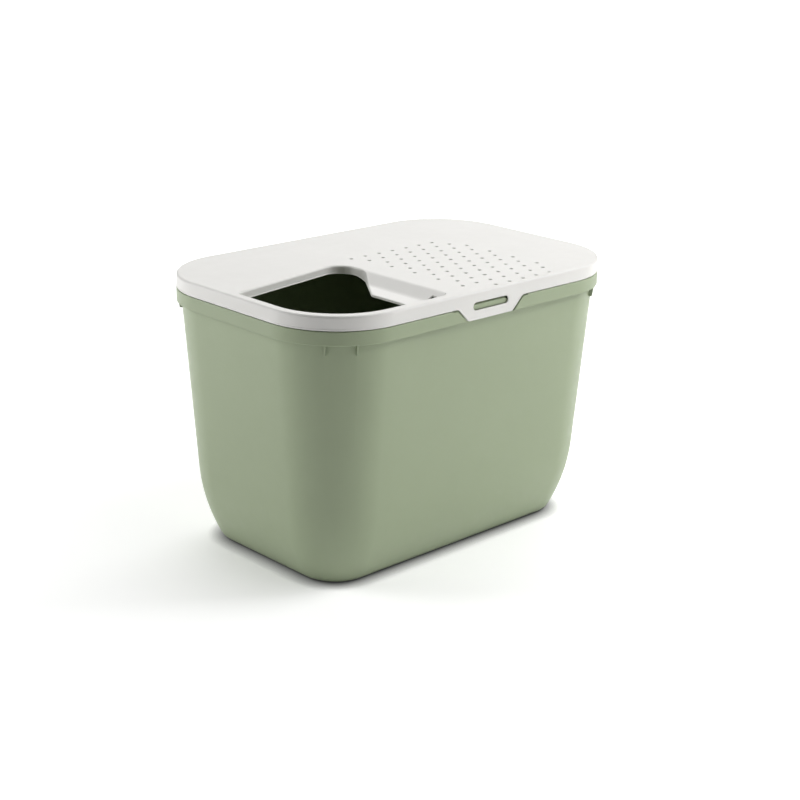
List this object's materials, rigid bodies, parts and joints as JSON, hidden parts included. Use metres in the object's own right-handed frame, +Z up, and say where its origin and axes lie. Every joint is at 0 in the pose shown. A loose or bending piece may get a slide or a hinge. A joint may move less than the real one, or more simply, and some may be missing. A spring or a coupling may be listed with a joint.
{
  "type": "top entry litter box",
  "caption": "Deep litter tub under a hinged lid with a large top entry, a scoop shelf, a perforated litter deck and a front latch tab.",
  "frame": {"origin": "centre of the bounding box on the floor that the tub stands on", "axes": "+X along the long side towards the litter deck, -Y towards the latch, +Z up"},
  "size_m": [0.585, 0.3932, 0.395],
  "materials": {
    "tub_plastic": "satin moulded polypropylene, sage green",
    "lid_plastic": "satin moulded polypropylene, off-white"
  },
  "bodies": {
    "tub": {"tub": "tub_plastic"},
    "lid": {"lid": "lid_plastic"},
    "latch": {"latch_tab": "lid_plastic"}
  },
  "joints": [
    {"name": "lid_hinge", "type": "hinge", "parent": "tub", "child": "lid", "pos_m": [0, 0.1916, 0.3654], "axis": [-1, 0, 0], "range_deg": [0, 100]},
    {"name": "latch_flex", "type": "hinge", "parent": "lid", "child": "latch", "pos_m": [0, -0.19661, 0.384], "axis": [-1, 0, 0], "range_deg": [0, 12], "stiffness_Nm_per_rad": 0.6}
  ]
}
